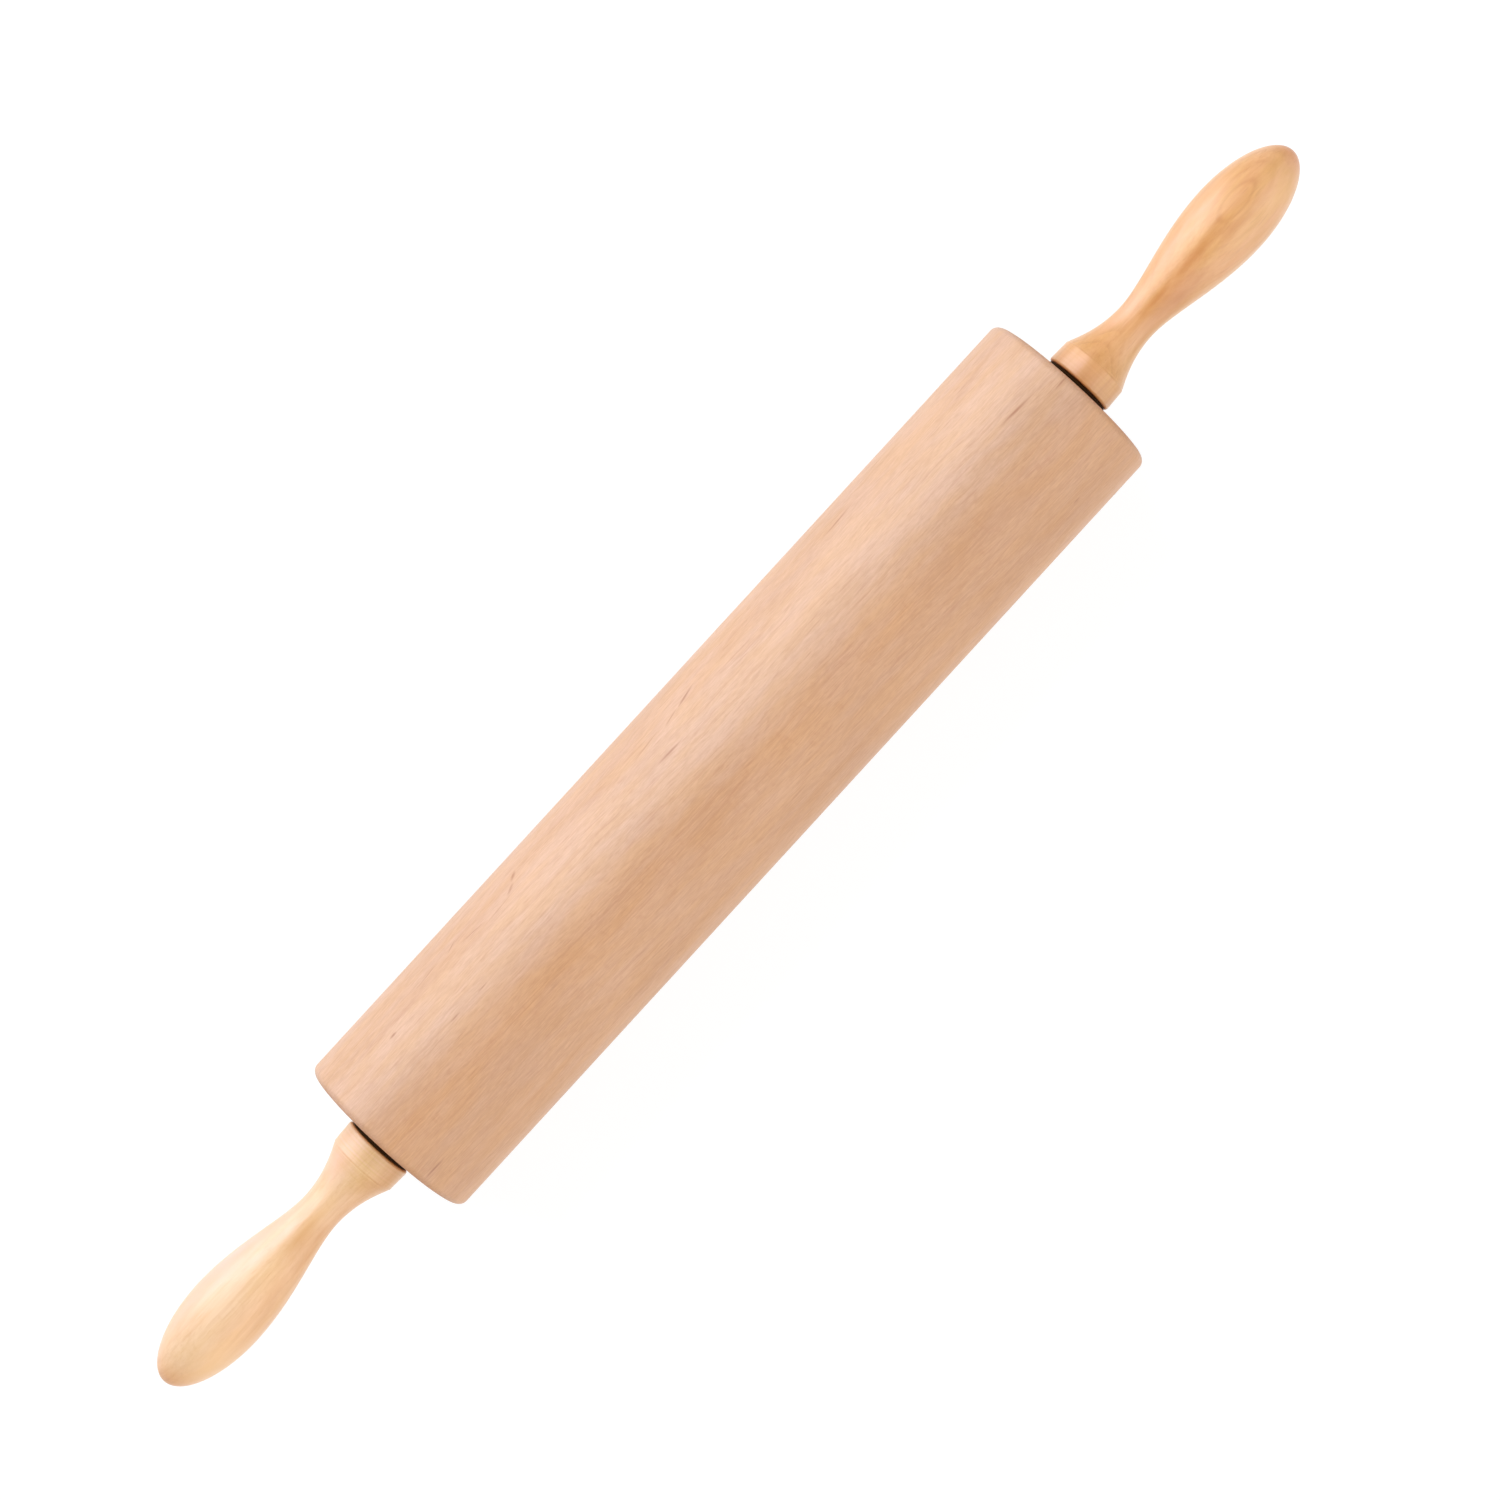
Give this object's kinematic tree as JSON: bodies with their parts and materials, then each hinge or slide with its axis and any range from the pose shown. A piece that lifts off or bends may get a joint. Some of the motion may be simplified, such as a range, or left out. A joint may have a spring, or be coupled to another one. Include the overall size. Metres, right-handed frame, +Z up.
{
  "type": "rolling pin",
  "caption": "Wooden rolling pin: a thick turned barrel spins on ball bearings round a steel axle held by a shaped turned handle at each end.",
  "frame": {"origin": "middle of the barrel, on its axis, which is also the middle of the whole pin", "axes": "+X along the pin towards the right handle, +Z up; the barrel rests on its underside at z = -0.0381 m"},
  "size_m": [0.6288, 0.0762, 0.0762],
  "materials": {
    "barrel_wood": "satin oiled beech",
    "handle_wood": "satin waxed birch",
    "axle_steel": "zinc plated",
    "bearing_steel": "ground and polished",
    "black_nylon": "matt"
  },
  "bodies": {
    "handles_and_axle": {"axle_rod": "axle_steel", "bearing_cone_left": "bearing_steel", "bearing_cone_right": "bearing_steel", "thrust_washer_left": "black_nylon", "thrust_washer_right": "black_nylon", "handle_left": "handle_wood", "handle_right": "handle_wood"},
    "barrel": {"barrel": "barrel_wood", "bearing_cup_left": "axle_steel", "bearing_cup_right": "axle_steel", "dust_shield_left": "axle_steel", "dust_shield_right": "axle_steel"},
    "balls_left": {"ball_left_1": "bearing_steel", "ball_left_2": "bearing_steel", "ball_left_3": "bearing_steel", "ball_left_4": "bearing_steel", "ball_left_5": "bearing_steel", "ball_left_6": "bearing_steel", "ball_left_7": "bearing_steel", "ball_left_8": "bearing_steel", "ball_left_9": "bearing_steel", "ball_left_10": "bearing_steel"},
    "balls_right": {"ball_right_1": "bearing_steel", "ball_right_2": "bearing_steel", "ball_right_3": "bearing_steel", "ball_right_4": "bearing_steel", "ball_right_5": "bearing_steel", "ball_right_6": "bearing_steel", "ball_right_7": "bearing_steel", "ball_right_8": "bearing_steel", "ball_right_9": "bearing_steel", "ball_right_10": "bearing_steel"}
  },
  "joints": [
    {"name": "barrel_spin", "type": "hinge", "parent": "handles_and_axle", "child": "barrel", "pos_m": [0, 0, 0], "axis": [1, 0, 0], "continuous": true},
    {"name": "ball_orbit_left", "type": "hinge", "parent": "handles_and_axle", "child": "balls_left", "pos_m": [-0.186, 0, 0], "axis": [1, 0, 0], "continuous": true},
    {"name": "ball_orbit_right", "type": "hinge", "parent": "handles_and_axle", "child": "balls_right", "pos_m": [0.186, 0, 0], "axis": [1, 0, 0], "continuous": true}
  ],
  "couplings": [
    {"joint": "ball_orbit_left", "follows": "barrel_spin", "ratio": 0.6046},
    {"joint": "ball_orbit_right", "follows": "barrel_spin", "ratio": 0.6046}
  ]
}
